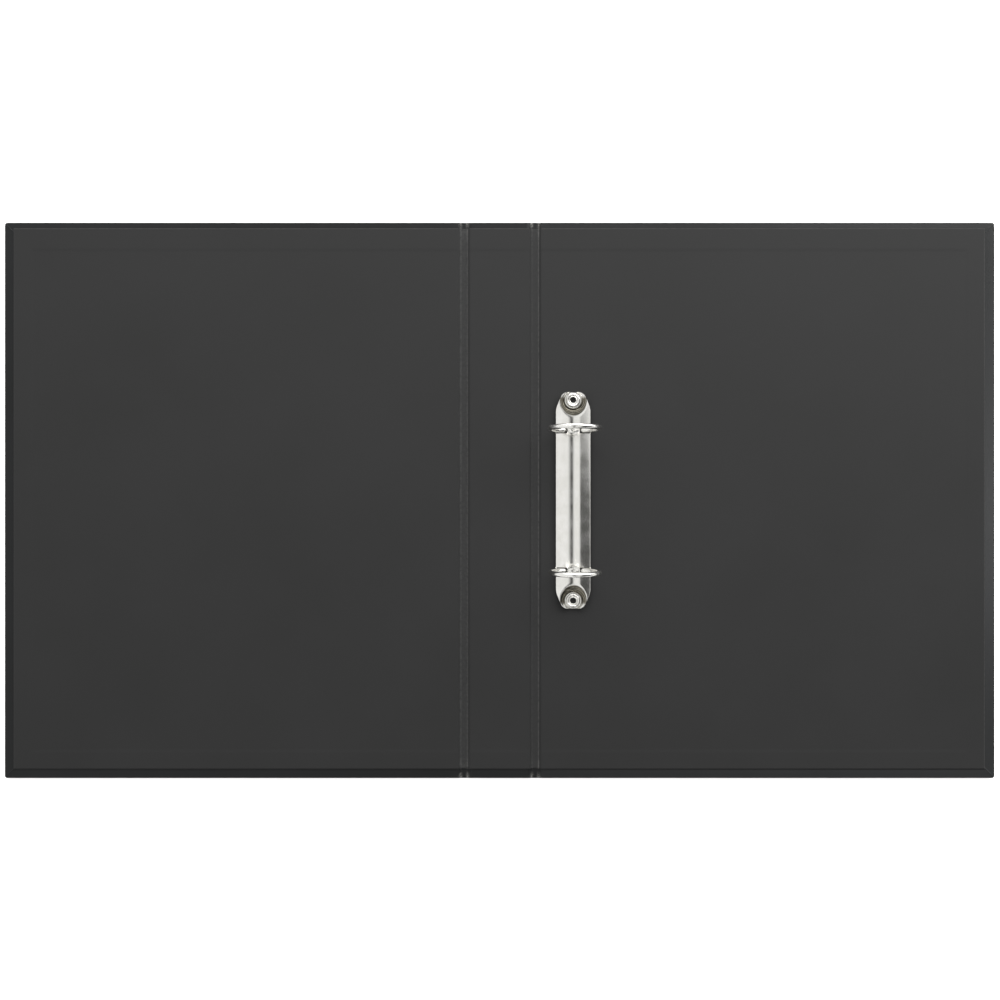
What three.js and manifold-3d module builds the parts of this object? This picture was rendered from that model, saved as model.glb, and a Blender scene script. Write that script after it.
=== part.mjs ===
// A two-ring A4 binder, lying open and flat with its inside up.
// Three greyboards share one covering and one lining, and a ring mechanism is riveted to the back.
// Millimetres. X runs from the front cover to the back cover, Y along the spine, Z up off the table.
import * as THREE from "three";
import { mergeVertices } from "three/addons/utils/BufferGeometryUtils.js";
import Module from "manifold-3d";

const wasm = await Module();
wasm.setup();

// The case: a front panel, a spine and a back panel, with a hinge between each two.
const CASE_HEIGHT = 320;
const PANEL_WIDTH = 261;
const SPINE_WIDTH = 34;
const HINGE_WIDTH = 7;
const COVERING = 0.25; // thickness of the covering sheet
const BOARD = 2.25; // thickness of a greyboard away from its pressed rim
const LINING = 0.25; // thickness of the lining paper
const TURN_IN = 16; // how far the covering is folded over the inside of a board
const CORNER_RADIUS = 1.5;
const TOP_MARGIN = 3.5; // strips of turned-in covering that the lining leaves bare
const BOTTOM_MARGIN = 5.25;
const FRONT_MARGIN = 5.5;
const BACK_MARGIN = 6;

const halfHeight = CASE_HEIGHT / 2;
const halfSpine = SPINE_WIDTH / 2;
const boardTop = COVERING + BOARD;
const rimTop = boardTop - COVERING;
const insideFace = boardTop + LINING;

// The ring mechanism, measured from the middle of its foot on the inside face of the back cover.
const MECHANISM_X = 42.2; // its centre line, from the middle of the spine
const RING_SPACING = 80; // the distance between filing holes in ISO 838
const RIVET_SPACING = 115;
const HOUSING_LENGTH = 124;
const HOUSING_WIDTH = 20.4;
const HOUSING_HEIGHT = 5.5;
const SHEET = 0.7; // thickness of the housing's steel
const ROLL_RADIUS = 1.3; // outside radius of its rolled long edges
const LIP = 0.7; // how far the rolled edge runs in under the blade
const NOSE_LENGTH = 9; // length of each tapered end
const NOSE_WIDTH = 11.6;

const RING_RADIUS = 13.6; // to the middle of the wire
const RING_HEIGHT = 17.5; // of the ring's centre
const WIRE_RADIUS = 1.4;
const FOOT_RADIUS = 0.9; // of the wire's riveted end, in the blade
const FOOT_BOTTOM = 0.5;
const SHANK_BOTTOM = 1.7; // where the full wire stops, just above the blade
const BEND_RADIUS = 2.2; // of the wire's turn from the ring down into the blade
const BEND_START_X = 6.2; // how far out from the centre line that turn begins
const JOINT_X = 0.3; // the tips meet a little to the back cover's side of the centre line
const JOINT_SLANT = 0.8;
const JOINT_GAP = 0.3;
const CLEARANCE = 0.15; // between a pin and its hole, and beside anything that moves

const BLADE_THICKNESS = 0.8;
const BLADE_LENGTH = 96;
const BLADE_WIDTH = 8.4; // from its hinge line to its inner edge
const BLADE_TILT = THREE.MathUtils.degToRad(4); // how far the closed blades sag to the middle

const SHANK_RADIUS = 2.5; // of the tubular rivets
const BORE_RADIUS = 1.8;
const HEAD_RADIUS = 5;
const HEAD_THICKNESS = 0.8;
const RIM_RADIUS = 4.2;
const RIM_HEIGHT = 1;
const DISH_FLOOR_RADIUS = 4.7;
const DISH_SLOPE = 0.85; // how much wider the rivet's dish grows for each millimetre up

const SLOT_INNER_X = 3.6; // the ring slots run from here over the housing's edge
const SLOT_BOTTOM = 1.8;
const SLOT_HALF_WIDTH = WIRE_RADIUS + 0.4;
const BOSS_LENGTH = 5.6; // of the oval boss on the crown between a ring's two slots
const BOSS_WIDTH = 2.8;
const BOSS_RISE = 0.6;

const hingeLineX = HOUSING_WIDTH / 2 - ROLL_RADIUS;
const hingeLineZ = ROLL_RADIUS;
const rivetPlaces = [RIVET_SPACING / 2, -RIVET_SPACING / 2];
const ringPlaces = [RING_SPACING / 2, -RING_SPACING / 2];
const PAST = 1; // how far a cutting shape runs past the faces that it cuts

const covering = new THREE.MeshStandardMaterial({
  color: "#26282a",
  roughness: 0.45,
  metalness: 0,
});
const lining = new THREE.MeshStandardMaterial({
  color: "#3f3f3f",
  roughness: 0.8,
  metalness: 0,
});
const greyboard = new THREE.MeshStandardMaterial({
  color: "#8d8578",
  roughness: 0.95,
  metalness: 0,
});
const nickel = new THREE.MeshStandardMaterial({
  color: "#d9d8d2",
  roughness: 0.15,
  metalness: 1,
});

// Points on an arc, ten degrees or less apart.
function arc(x, y, radius, fromDegrees, toDegrees) {
  const steps = Math.ceil(Math.abs(toDegrees - fromDegrees) / 10);
  return Array.from({ length: steps + 1 }, (_, i) => {
    const degrees = fromDegrees + ((toDegrees - fromDegrees) * i) / steps;
    const angle = THREE.MathUtils.degToRad(degrees);
    return new THREE.Vector2(
      x + radius * Math.cos(angle),
      y + radius * Math.sin(angle),
    );
  });
}

// Points all the way round a circle, none of them twice.
function circle(radius, sides) {
  return Array.from({ length: sides }, (_, i) => {
    const angle = (2 * Math.PI * i) / sides;
    return new THREE.Vector2(
      radius * Math.cos(angle),
      radius * Math.sin(angle),
    );
  });
}

function toPoints(pairs) {
  return pairs.map(([x, y]) => new THREE.Vector2(x, y));
}

// Joins runs of points, leaving out a point that repeats the one before it.
function chain(...runs) {
  return runs.flat().filter((point, i, all) => {
    return i === 0 || point.distanceTo(all[i - 1]) > 1e-6;
  });
}

// A rectangle, with the two corners at each end in X rounded where that end has a radius.
function rectangle(x0, x1, y0, y1, radius0 = 0, radius1 = 0) {
  const corner = (x, y, inX, inY, radius, degrees) =>
    radius > 0
      ? arc(x + inX * radius, y + inY * radius, radius, degrees, degrees + 90)
      : [new THREE.Vector2(x, y)];
  return [
    ...corner(x0, y0, 1, 1, radius0, 180),
    ...corner(x1, y0, -1, 1, radius1, 270),
    ...corner(x1, y1, -1, -1, radius1, 0),
    ...corner(x0, y1, 1, -1, radius0, 90),
  ];
}

// A geometry as a solid that can be added to, cut and crossed with others.
function solid(geometry) {
  const bare = geometry.clone();
  bare.deleteAttribute("normal");
  bare.deleteAttribute("uv");
  const merged = mergeVertices(bare, 1e-4);
  return new wasm.Manifold(
    new wasm.Mesh({
      numProp: 3,
      vertProperties: merged.attributes.position.array,
      triVerts: new Uint32Array(merged.index.array),
    }),
  );
}

function mesh(name, body, material) {
  const { vertProperties, triVerts } = body.getMesh();
  const geometry = new THREE.BufferGeometry();
  geometry.setAttribute(
    "position",
    new THREE.BufferAttribute(vertProperties, 3),
  );
  geometry.setIndex(new THREE.BufferAttribute(triVerts, 1));
  geometry.computeVertexNormals();
  const made = new THREE.Mesh(geometry, material);
  made.name = name;
  return made;
}

function group(name, ...children) {
  const made = new THREE.Group();
  made.name = name;
  made.add(...children);
  return made;
}

// The outline is drawn in XY for an extrusion along Z, in XZ along Y, and in YZ along X.
function extrude(outline, from, to, along = "z") {
  const X = new THREE.Vector3(1, 0, 0);
  const Y = new THREE.Vector3(0, 1, 0);
  const Z = new THREE.Vector3(0, 0, 1);
  const frames = { x: [Y, Z, X], y: [X, Z, Y.clone().negate()], z: [X, Y, Z] };
  const start = along === "y" ? -to : from;
  const geometry = new THREE.ExtrudeGeometry(new THREE.Shape(outline), {
    depth: to - from,
    bevelEnabled: false,
  });
  geometry.translate(0, 0, start);
  geometry.applyMatrix4(new THREE.Matrix4().makeBasis(...frames[along]));
  return solid(geometry);
}

function cylinder(radius, z0, z1, x = 0, y = 0) {
  return extrude(circle(radius, 32), z0, z1).translate([x, y, 0]);
}

// A solid of revolution about Z from [radius, height] pairs that start and end on the axis.
function lathe(profile, segments = 40) {
  const points = profile.map(([r, z]) => new THREE.Vector2(r, z));
  const geometry = new THREE.LatheGeometry(points, segments);
  geometry.rotateX(Math.PI / 2);
  return solid(geometry);
}

// The holes through a layer of the back cover: the shank's, and the wider one that sinks the head.
function cutForRivets(body) {
  const headTop = HEAD_THICKNESS + CLEARANCE;
  return rivetPlaces.reduce(
    (cut, y) =>
      cut
        .subtract(
          cylinder(SHANK_RADIUS + CLEARANCE, -PAST, insideFace + PAST, MECHANISM_X, y),
        )
        .subtract(
          cylinder(HEAD_RADIUS + CLEARANCE, -PAST, headTop, MECHANISM_X, y),
        ),
    body,
  );
}

// A rectangle set in from a panel's head, tail and fore edge by a margin. It runs past the panel's
// hinge edges when they are open, so that cutting with it leaves them open.
function insetOutline(panel, margin, radius, overrun = 0) {
  const { x0, x1, foreEdge } = panel;
  return rectangle(
    foreEdge < 0 ? x0 + margin : x0 - overrun,
    foreEdge > 0 ? x1 - margin : x1 + overrun,
    -halfHeight + margin,
    halfHeight - margin,
    foreEdge < 0 ? radius : 0,
    foreEdge > 0 ? radius : 0,
  );
}

// The covering of one panel: outside sheet, edge walls and the strips turned in over the board.
function panelCovering(panel) {
  const innerRadius = CORNER_RADIUS - COVERING;
  const outside = extrude(insetOutline(panel, 0, CORNER_RADIUS), 0, boardTop);
  const boardSpace = extrude(
    insetOutline(panel, COVERING, innerRadius, PAST),
    COVERING,
    rimTop,
  );
  const window = extrude(
    insetOutline(panel, TURN_IN, 0, PAST),
    COVERING,
    boardTop + PAST,
  );
  return outside.subtract(boardSpace).subtract(window);
}

// A greyboard: the press has sunk its rim by one sheet, so the turned-in covering lies flush.
function panelBoard(panel) {
  const rim = extrude(
    insetOutline(panel, COVERING, CORNER_RADIUS - COVERING),
    COVERING,
    rimTop,
  );
  const middle = extrude(insetOutline(panel, TURN_IN, 0), COVERING, boardTop);
  return rim.add(middle);
}

function panelLining(panel) {
  const { x0, x1, foreEdge } = panel;
  const outline = rectangle(
    foreEdge < 0 ? x0 + FRONT_MARGIN : x0,
    foreEdge > 0 ? x1 - BACK_MARGIN : x1,
    -halfHeight + BOTTOM_MARGIN,
    halfHeight - TOP_MARGIN,
  );
  return extrude(outline, boardTop, insideFace);
}

// One panel of the case. The back one is drilled for the mechanism's rivets.
function panelGroup(name, panel, drilled = false) {
  const finish = drilled ? cutForRivets : (body) => body;
  return group(
    name,
    mesh(name + "_board", finish(panelBoard(panel)), greyboard),
    mesh(name + "_covering", finish(panelCovering(panel)), covering),
    mesh(name + "_lining", finish(panelLining(panel)), lining),
  );
}

// The covering at a hinge: one flat sheet, doubled at the head and tail where it is turned in.
function hingeCovering(x0, x1) {
  const turnIn = halfHeight - TURN_IN;
  const section = [
    [-halfHeight, 0],
    [halfHeight, 0],
    [halfHeight, 2 * COVERING],
    [turnIn, 2 * COVERING],
    [turnIn, COVERING],
    [-turnIn, COVERING],
    [-turnIn, 2 * COVERING],
    [-halfHeight, 2 * COVERING],
  ];
  return extrude(toPoints(section), x0, x1, "x");
}

// The lining at a hinge: pressed down between the boards' edges until it meets the covering.
function hingeLining(x0, x1) {
  const slope = 1.2; // the plan width of each side of the groove
  const round = LINING;
  const floor = 2 * COVERING + LINING;
  const foot0 = x0 + slope;
  const foot1 = x1 - slope;
  const section = [
    [x0, boardTop],
    [x0, insideFace],
    [x0 + round, insideFace],
    [foot0, floor + round],
    [foot0 + round, floor],
    [foot1 - round, floor],
    [foot1, floor + round],
    [x1 - round, insideFace],
    [x1, insideFace],
    [x1, boardTop],
    [foot1 + round, COVERING],
    [foot0 - round, COVERING],
  ];
  const tail = -halfHeight + BOTTOM_MARGIN;
  const head = halfHeight - TOP_MARGIN;
  const strip = extrude(toPoints(section), tail, head, "y");
  const turnIn = halfHeight - TURN_IN;
  const flap = (y0, y1) =>
    extrude(rectangle(x0 - PAST, x1 + PAST, y0, y1), 0, 2 * COVERING);
  return strip
    .subtract(flap(-halfHeight, -turnIn))
    .subtract(flap(turnIn, halfHeight));
}

function hingeGroup(name, x0, x1) {
  return group(
    name,
    mesh(name + "_covering", hingeCovering(x0, x1), covering),
    mesh(name + "_lining", hingeLining(x0, x1), lining),
  );
}

// The housing's cross-section, a given depth inside its outer surface, from right lip to left lip.
// The low arch meets the rolled edge where the two circles touch.
function housingLine(depth) {
  const rise = HOUSING_HEIGHT - ROLL_RADIUS;
  const drop =
    (hingeLineX ** 2 + hingeLineZ ** 2 - rise ** 2) / (2 * (rise - hingeLineZ));
  const archRadius = HOUSING_HEIGHT + drop;
  const touch = THREE.MathUtils.radToDeg(
    Math.atan2(hingeLineZ + drop, hingeLineX),
  );
  const roll = ROLL_RADIUS - depth;
  const lipX = hingeLineX - LIP;
  return chain(
    [new THREE.Vector2(lipX, depth)],
    arc(hingeLineX, hingeLineZ, roll, -90, touch),
    arc(0, -drop, archRadius - depth, touch, 180 - touch),
    arc(-hingeLineX, hingeLineZ, roll, 180 - touch, 270),
    [new THREE.Vector2(-lipX, depth)],
  );
}

// The plan that trims the housing to its length and tapers its ends to their noses. It is drawn
// wider than the housing, with the taper's lines run on outwards to that width.
function housingPlan() {
  const end = HOUSING_LENGTH / 2;
  const nose = NOSE_WIDTH / 2;
  const side = HOUSING_WIDTH / 2;
  const taper = NOSE_LENGTH / (side - nose);
  const reach = end - NOSE_LENGTH - taper * PAST;
  const corners = [
    [side + PAST, -reach],
    [side + PAST, reach],
    [nose, end],
    [-nose, end],
    [-side - PAST, reach],
    [-side - PAST, -reach],
    [-nose, -end],
    [nose, -end],
  ];
  return extrude(toPoints(corners), -PAST, HOUSING_HEIGHT + PAST);
}

// A cone about a rivet that widens upwards, from one height to above the housing.
function dishCone(floorRadius, floorZ) {
  const top = HOUSING_HEIGHT + PAST;
  const topRadius = floorRadius + DISH_SLOPE * (top - floorZ);
  return lathe([
    [0, floorZ],
    [floorRadius, floorZ],
    [topRadius, top],
    [0, top],
  ]);
}

// The arched cover plate: dished down to the back cover at each rivet, slotted for each half ring.
function housing() {
  const end = HOUSING_LENGTH / 2;
  const outer = housingLine(0);
  const inner = housingLine(SHEET).reverse();
  const envelope = extrude(outer, -end, end, "y");
  const wall = SHEET * Math.hypot(1, DISH_SLOPE);
  const outerFloor = DISH_FLOOR_RADIUS + wall - DISH_SLOPE * SHEET;
  let body = extrude([...outer, ...inner], -end, end, "y");
  for (const y of rivetPlaces) {
    const dish = dishCone(outerFloor, 0).translate([0, y, 0]);
    const hollow = dishCone(DISH_FLOOR_RADIUS, SHEET).translate([0, y, 0]);
    const hole = cylinder(SHANK_RADIUS + CLEARANCE, -PAST, SHEET + PAST, 0, y);
    body = body.add(dish.intersect(envelope)).subtract(hollow).subtract(hole);
  }
  body = body.intersect(housingPlan());
  for (const y of ringPlaces) {
    body = body.subtract(ringSlot(-1, y)).subtract(ringSlot(1, y));
    body = body.add(crownBoss(y));
  }
  return body;
}

// A slot down one flank of the housing, in which a half ring swings.
function ringSlot(side, y) {
  const ends = [side * SLOT_INNER_X, side * (HOUSING_WIDTH / 2 + PAST)];
  const outline = rectangle(
    Math.min(...ends),
    Math.max(...ends),
    y - SLOT_HALF_WIDTH,
    y + SLOT_HALF_WIDTH,
  );
  return extrude(outline, SLOT_BOTTOM, HOUSING_HEIGHT + PAST);
}

// The small oval boss stamped up on the crown between the two slots of a ring.
function crownBoss(y) {
  const sunk = 0.4; // how far the boss's middle lies below the crown
  const boss = new THREE.SphereGeometry(1, 20, 10);
  boss.scale(BOSS_LENGTH / 2, BOSS_WIDTH / 2, BOSS_RISE + sunk);
  boss.translate(0, y, HOUSING_HEIGHT - sunk);
  return solid(boss);
}

// A hinge blade: its rounded outer edge turns in the housing's rolled edge. Points are set out from
// that hinge line, inwards along the blade and up through its thickness.
function blade(side) {
  const half = BLADE_THICKNESS / 2;
  const flat = [
    ...arc(0, 0, half, 270, 90),
    new THREE.Vector2(BLADE_WIDTH, half),
    new THREE.Vector2(BLADE_WIDTH, -half),
  ];
  const sin = Math.sin(BLADE_TILT);
  const cos = Math.cos(BLADE_TILT);
  const outline = flat.map(({ x: along, y: up }) => {
    const inward = along * cos + up * sin;
    const rise = up * cos - along * sin;
    return new THREE.Vector2(side * (hingeLineX - inward), hingeLineZ + rise);
  });
  const plate = extrude(outline, -BLADE_LENGTH / 2, BLADE_LENGTH / 2, "y");
  return ringPlaces.reduce((body, y) => {
    const hole = cylinder(FOOT_RADIUS + CLEARANCE, -PAST, SHANK_BOTTOM, side * shankX, y);
    return body.subtract(hole);
  }, plate);
}

// The wire of a half ring follows the ring's circle, then a tight bend that turns it straight down.
// Angles are up from the horizontal, and the bend turns about its own centre.
const bendAngle = Math.acos(BEND_START_X / RING_RADIUS);
const bendX = BEND_START_X + BEND_RADIUS * Math.cos(bendAngle);
const bendZ = RING_HEIGHT - (RING_RADIUS + BEND_RADIUS) * Math.sin(bendAngle);
const shankX = bendX - BEND_RADIUS;

class WirePath extends THREE.Curve {
  constructor(side) {
    super();
    const overrun = 4; // extra wire past the ring's top, for the joint to be cut from
    this.side = side;
    this.startAngle = Math.PI / 2 + overrun / RING_RADIUS;
    this.arcLength = (this.startAngle + bendAngle) * RING_RADIUS;
    this.bendLength = bendAngle * BEND_RADIUS;
    this.shankLength = bendZ - SHANK_BOTTOM;
  }

  getPoint(t, target = new THREE.Vector3()) {
    const { side, startAngle, arcLength, bendLength, shankLength } = this;
    const pastArc = t * (arcLength + bendLength + shankLength) - arcLength;
    const pastBend = pastArc - bendLength;
    if (pastArc < 0) {
      const angle = startAngle - (pastArc + arcLength) / RING_RADIUS;
      const x = RING_RADIUS * Math.cos(angle);
      return target.set(side * x, 0, RING_HEIGHT + RING_RADIUS * Math.sin(angle));
    }
    if (pastBend < 0) {
      const angle = bendAngle - pastArc / BEND_RADIUS;
      const x = bendX - BEND_RADIUS * Math.cos(angle);
      return target.set(side * x, 0, bendZ + BEND_RADIUS * Math.sin(angle));
    }
    return target.set(side * shankX, 0, bendZ - pastBend);
  }
}

// What is cut from a half ring's wire: all of it past the slanting joint at the top of the ring.
function beyondJoint(side) {
  const reach = 2 * WIRE_RADIUS;
  const near = (y) => JOINT_X + JOINT_SLANT * y + (side * JOINT_GAP) / 2;
  const far = JOINT_X - side * RING_RADIUS;
  const corners = [
    [near(-reach), -reach],
    [near(reach), reach],
    [far, reach],
    [far, -reach],
  ];
  return extrude(toPoints(corners), RING_HEIGHT, RING_HEIGHT + 2 * RING_RADIUS);
}

// Half a ring: bent wire, cut on the slant at its tip and turned down to a rivet foot at its blade.
function halfRing(side, y) {
  const path = new WirePath(side);
  const section = new THREE.Shape(circle(WIRE_RADIUS, 14));
  const wire = new THREE.ExtrudeGeometry(section, { steps: 44, extrudePath: path });
  const foot = cylinder(FOOT_RADIUS, FOOT_BOTTOM, SHANK_BOTTOM + PAST, side * shankX);
  return solid(wire).subtract(beyondJoint(side)).add(foot).translate([0, y, 0]);
}

// A tubular rivet from its closed head, sunk in the outside of the cover, to its rolled rim.
function rivet(y) {
  const rimBottom = insideFace + SHEET + CLEARANCE;
  const rimMiddle = (RIM_RADIUS + BORE_RADIUS) / 2;
  const rimHalf = (RIM_RADIUS - BORE_RADIUS) / 2;
  const round = HEAD_THICKNESS / 2;
  const rim = arc(0, 0, 1, 0, 180).map(({ x: out, y: up }) => [
    rimMiddle + rimHalf * out,
    rimBottom + RIM_HEIGHT * up,
  ]);
  const body = lathe([
    [0, 0],
    [HEAD_RADIUS - round, 0],
    [HEAD_RADIUS, round],
    [HEAD_RADIUS - round, HEAD_THICKNESS],
    [SHANK_RADIUS, HEAD_THICKNESS],
    [SHANK_RADIUS, rimBottom],
    ...rim,
    [BORE_RADIUS, HEAD_THICKNESS],
    [0, HEAD_THICKNESS],
  ]);
  return body.translate([MECHANISM_X, y, 0]);
}

function mechanismGroup() {
  const sides = { left: -1, right: 1 };
  const places = { head: ringPlaces[0], tail: ringPlaces[1] };
  const made = group("ring_mechanism", mesh("housing", housing(), nickel));
  for (const [sideName, side] of Object.entries(sides)) {
    made.add(mesh(`${sideName}_blade`, blade(side), nickel));
    for (const [placeName, y] of Object.entries(places)) {
      const name = `${placeName}_${sideName}_half_ring`;
      made.add(mesh(name, halfRing(side, y), nickel));
    }
  }
  made.position.set(MECHANISM_X, 0, insideFace);
  return made;
}

const hingeEnd = halfSpine + HINGE_WIDTH;
const panels = {
  front: { x0: -hingeEnd - PANEL_WIDTH, x1: -hingeEnd, foreEdge: -1 },
  spine: { x0: -halfSpine, x1: halfSpine, foreEdge: 0 },
  back: { x0: hingeEnd, x1: hingeEnd + PANEL_WIDTH, foreEdge: 1 },
};

export default group(
  "ring_binder",
  panelGroup("front", panels.front),
  hingeGroup("front_hinge", panels.front.x1, panels.spine.x0),
  panelGroup("spine", panels.spine),
  hingeGroup("back_hinge", panels.spine.x1, panels.back.x0),
  panelGroup("back", panels.back, true),
  mechanismGroup(),
  group(
    "rivets",
    mesh("head_rivet", rivet(rivetPlaces[0]), nickel),
    mesh("tail_rivet", rivet(rivetPlaces[1]), nickel),
  ),
);
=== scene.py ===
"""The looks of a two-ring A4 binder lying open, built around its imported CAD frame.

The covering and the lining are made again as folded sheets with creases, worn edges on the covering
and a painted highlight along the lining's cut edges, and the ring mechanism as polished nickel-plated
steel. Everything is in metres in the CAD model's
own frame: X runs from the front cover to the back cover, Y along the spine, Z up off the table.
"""

import math

import bmesh
import bpy
import numpy as np
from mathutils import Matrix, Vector, noise


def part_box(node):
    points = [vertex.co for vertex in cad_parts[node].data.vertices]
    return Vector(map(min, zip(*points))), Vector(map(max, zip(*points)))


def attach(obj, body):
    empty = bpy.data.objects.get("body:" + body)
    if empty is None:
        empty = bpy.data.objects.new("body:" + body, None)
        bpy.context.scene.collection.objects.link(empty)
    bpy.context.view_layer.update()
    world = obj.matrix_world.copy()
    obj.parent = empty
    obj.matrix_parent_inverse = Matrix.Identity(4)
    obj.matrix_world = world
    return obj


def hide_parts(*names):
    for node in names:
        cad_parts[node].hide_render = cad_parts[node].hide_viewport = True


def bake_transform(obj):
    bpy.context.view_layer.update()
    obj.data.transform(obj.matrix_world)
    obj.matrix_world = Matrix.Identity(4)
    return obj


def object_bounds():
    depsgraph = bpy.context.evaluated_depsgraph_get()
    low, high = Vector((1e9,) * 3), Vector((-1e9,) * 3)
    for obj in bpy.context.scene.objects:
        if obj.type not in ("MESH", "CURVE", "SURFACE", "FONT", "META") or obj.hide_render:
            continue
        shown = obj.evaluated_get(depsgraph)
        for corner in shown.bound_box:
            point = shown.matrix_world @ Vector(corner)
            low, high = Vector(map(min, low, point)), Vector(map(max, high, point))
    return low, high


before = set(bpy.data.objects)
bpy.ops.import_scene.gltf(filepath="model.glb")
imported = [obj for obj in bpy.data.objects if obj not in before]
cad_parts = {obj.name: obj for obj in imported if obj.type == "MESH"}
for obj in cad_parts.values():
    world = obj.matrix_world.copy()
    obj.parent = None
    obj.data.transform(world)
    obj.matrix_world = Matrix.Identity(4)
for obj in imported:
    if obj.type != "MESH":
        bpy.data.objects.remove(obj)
cad_low, cad_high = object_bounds()

MM = 0.001

# ---------------------------------------------------------------- sizes read from the CAD nodes

front_low, front_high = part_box("front_covering")
spine_low, spine_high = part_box("spine_covering")
back_low, back_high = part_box("back_covering")
lining_low, lining_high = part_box("back_lining")
front_lining_low, front_lining_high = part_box("front_lining")
housing_low, housing_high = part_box("housing")
head_rivet_low, head_rivet_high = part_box("head_rivet")
tail_rivet_low, tail_rivet_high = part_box("tail_rivet")
ring_low, ring_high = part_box("head_left_half_ring")
right_ring_low, right_ring_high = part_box("head_right_half_ring")
tail_ring_low, tail_ring_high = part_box("tail_left_half_ring")

tail = front_low.y  # lower edge of the case in the main view
head = front_high.y
covering_top = front_high.z  # the level of the turned-in covering
inside = lining_high.z  # the level of the lining
mechanism_x = (housing_low.x + housing_high.x) / 2
rivet_ys = [
    (head_rivet_low.y + head_rivet_high.y) / 2,
    (tail_rivet_low.y + tail_rivet_high.y) / 2,
]
ring_ys = [
    (ring_low.y + ring_high.y) / 2,
    (tail_ring_low.y + tail_ring_high.y) / 2,
]

# ---------------------------------------------------------------- details too fine for the frame

SHEET = 0.25 * MM  # the thickness of the covering, and of the lining in the frame
LINING_SHEET = 0.55 * SHEET  # thinner here, so that the sunken lining clears what is under it
FOLD_RADIUS = 0.7 * MM  # where the covering turns round a board's edge
CORNER_RADIUS = 1.5 * MM
TURN_IN = 16 * MM
GROOVE_FLOOR = 1.5 * MM  # the lowest the lining goes in a hinge groove
MITRE_RIDGE = 0.2 * MM  # how far the folded corners stand up
RIM_FALL = 0.12 * MM  # how far the pressed board falls away towards its edges
RIM_REACH = 3 * MM
SUNK = 0.1 * MM  # how far the lining sags inside the frame of turned-in covering
LINING_STEP = 4 * MM  # between the lining's points where it is flat
DIP_STEP = 0.4 * MM  # between its points where it dips inside the turned-in covering
DIP_REACH = 1.6 * MM  # how far the closer points run to either side of the dip
RIVET_HEAD = (head_rivet_high.x - head_rivet_low.x) / 2
RIVET_HOLE = RIVET_HEAD + 0.15 * MM  # radius of the hole that each rivet's head is sunk in


# ---------------------------------------------------------------- mesh helpers


def add_mesh(name, vertices, faces, smooth=True):
    mesh = bpy.data.meshes.new(name)
    mesh.from_pydata([tuple(v) for v in vertices], [], [tuple(f) for f in faces])
    mesh.update()
    made = bpy.data.objects.new(name, mesh)
    bpy.context.scene.collection.objects.link(made)
    mesh.polygons.foreach_set("use_smooth", [smooth] * len(mesh.polygons))
    return made


def grid_faces(rows, columns, keep=None):
    """Quads between the points of a grid stored row by row, or only those for which keep is true."""
    faces = []
    for r in range(rows - 1):
        for c in range(columns - 1):
            if keep is None or keep(r, c):
                a = r * columns + c
                faces.append((a, a + 1, a + columns + 1, a + columns))
    return faces


def turn_faces(made, up=0):
    """Turns a closed mesh's faces outwards. An open sheet has no outside: it is turned so that its
    highest face looks up, where up is 1, or its lowest face looks down, where up is -1."""
    mesh = bmesh.new()
    mesh.from_mesh(made.data)
    bmesh.ops.recalc_face_normals(mesh, faces=mesh.faces)
    if up:
        outermost = max(mesh.faces, key=lambda face: up * face.calc_center_median().z)
        if up * outermost.normal.z < 0:
            bmesh.ops.reverse_faces(mesh, faces=mesh.faces)
    mesh.to_mesh(made.data)
    mesh.free()
    return made


def even_shading(made):
    """Lets the large flat faces set the shading, so that it doesn't streak from small ones."""
    weighted = made.modifiers.new("even_shading", "WEIGHTED_NORMAL")
    weighted.weight = 80
    return made


def thicken(made, thickness):
    """Makes a sheet from a surface, which stays as the sheet's outer side."""
    solidify = made.modifiers.new("thickness", "SOLIDIFY")
    solidify.thickness = thickness
    solidify.offset = -1
    return made


def soften(made, width, segments=2, degrees=40):
    """Rounds the edges that are sharper than an angle."""
    bevel = made.modifiers.new("soft_edges", "BEVEL")
    bevel.width = width
    bevel.segments = segments
    bevel.limit_method = "ANGLE"
    bevel.angle_limit = math.radians(degrees)
    bevel.harden_normals = True
    return made


def plan_uv(made):
    """A UV map in metres in plan, which stays with the sheet when a cover is folded. Height is added
    to it, so that a pattern isn't drawn out down a wall."""
    layer = made.data.uv_layers.new(name="plan")
    for loop in made.data.loops:
        x, y, z = made.data.vertices[loop.vertex_index].co
        layer.data[loop.index].uv = (x + z, y + z)
    return made


def paint(made, name, amount):
    """Stores a number from 0 to 1 at each vertex, for the material to read."""
    layer = made.data.attributes.new(name, "FLOAT", "POINT")
    layer.data.foreach_set("value", [amount(v.co) for v in made.data.vertices])
    return made


def smooth_step(low, high, value):
    t = min(1.0, max(0.0, (value - low) / (high - low)))
    return t * t * (3 - 2 * t)


def ripple(x, y, wavelength):
    """Gentle unevenness between -1 and 1 over the plan."""
    return noise.noise(Vector((x / wavelength, y / wavelength, 0.5)))


def spaced(*stops):
    """Values through (value, step) stops: each stretch is divided in about its stop's step."""
    values = [stops[0][0]]
    for (start, step), (end, _) in zip(stops, stops[1:]):
        parts = max(1, round(abs(end - start) / step))
        values += [start + (end - start) * (i + 1) / parts for i in range(parts)]
    return values


# ---------------------------------------------------------------- the case's cross-sections


def groove_level(x, left, right):
    """The lining's height across a hinge groove: two sloping walls, a bead at the foot of each, and
    a flat floor."""
    width = right - left
    from_wall = min(x - left, right - x)
    wall = smooth_step(0.1 * MM, 1.5 * MM, from_wall)
    bead = math.exp(-(((from_wall - 1.6 * MM) / (0.25 * MM)) ** 2))
    middle = smooth_step(1.7 * MM, width / 2, from_wall)
    return inside + (GROOVE_FLOOR - inside) * wall + (0.2 * bead - 0.05 * middle) * MM


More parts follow.
